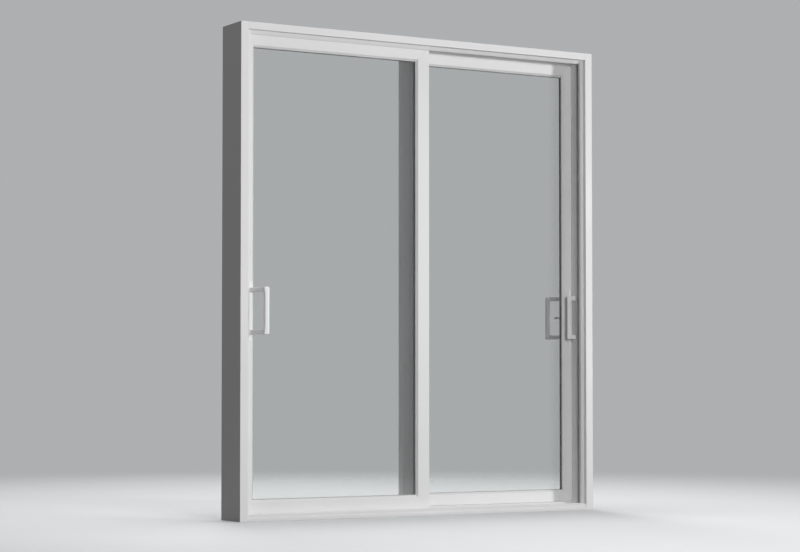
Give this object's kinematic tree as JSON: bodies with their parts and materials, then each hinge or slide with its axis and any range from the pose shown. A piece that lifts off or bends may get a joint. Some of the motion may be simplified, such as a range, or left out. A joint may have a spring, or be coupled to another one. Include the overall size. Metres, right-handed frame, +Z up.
{
  "type": "glass sliding patio door",
  "caption": "White framed sliding patio door with clear double-glazed leaves that slide past each other on sill tracks, with offset bar pulls and thumb levers.",
  "frame": {"origin": "bottom centre of the frame, on the floor", "axes": "+Z up, +X to the right seen from outside, +Y from outside to inside"},
  "size_m": [1.8, 0.27, 2.1],
  "materials": {
    "frame_vinyl": "satin",
    "leaf_vinyl": "satin",
    "glass": "clear",
    "spacer_bar": "satin",
    "roller": "matte",
    "lock_metal": "brushed",
    "pull_paint": "satin",
    "track_metal": "satin",
    "stop_rubber": "matte"
  },
  "bodies": {
    "frame": {"left_jamb": "frame_vinyl", "right_jamb": "frame_vinyl", "head": "frame_vinyl", "sill": "frame_vinyl", "front_track": "track_metal", "rear_track": "track_metal", "front_keeper": "lock_metal", "rear_keeper": "lock_metal", "front_stop": "stop_rubber", "rear_stop": "stop_rubber"},
    "front_leaf": {"front_outer_stile": "leaf_vinyl", "front_meeting_stile": "leaf_vinyl", "front_top_rail": "leaf_vinyl", "front_bottom_rail": "leaf_vinyl", "front_outer_pane": "glass", "front_inner_pane": "glass", "front_spacer": "spacer_bar", "front_glazing_bead": "leaf_vinyl", "front_interlock": "leaf_vinyl", "front_rollers": "roller", "front_lock_plate": "lock_metal", "front_outside_pull": "pull_paint", "front_inside_pull": "pull_paint"},
    "front_turn": {"front_thumb_turn": "pull_paint"},
    "rear_leaf": {"rear_outer_stile": "leaf_vinyl", "rear_meeting_stile": "leaf_vinyl", "rear_top_rail": "leaf_vinyl", "rear_bottom_rail": "leaf_vinyl", "rear_outer_pane": "glass", "rear_inner_pane": "glass", "rear_spacer": "spacer_bar", "rear_glazing_bead": "leaf_vinyl", "rear_interlock": "leaf_vinyl", "rear_rollers": "roller", "rear_lock_plate": "lock_metal", "rear_outside_pull": "pull_paint", "rear_inside_pull": "pull_paint"},
    "rear_turn": {"rear_thumb_turn": "pull_paint"}
  },
  "joints": [
    {"name": "front_leaf_slide", "type": "slide", "parent": "frame", "child": "front_leaf", "axis": [1, 0, 0], "range_m": [0, 0.77]},
    {"name": "rear_leaf_slide", "type": "slide", "parent": "frame", "child": "rear_leaf", "axis": [1, 0, 0], "range_m": [-0.77, 0]},
    {"name": "front_turn_pivot", "type": "hinge", "parent": "front_leaf", "child": "front_turn", "pos_m": [-0.854, -0.0107, 0.882], "axis": [0, 1, 0], "range_deg": [0, 90]},
    {"name": "rear_turn_pivot", "type": "hinge", "parent": "rear_leaf", "child": "rear_turn", "pos_m": [0.836, 0.0723, 0.882], "axis": [0, -1, 0], "range_deg": [0, 90]}
  ]
}
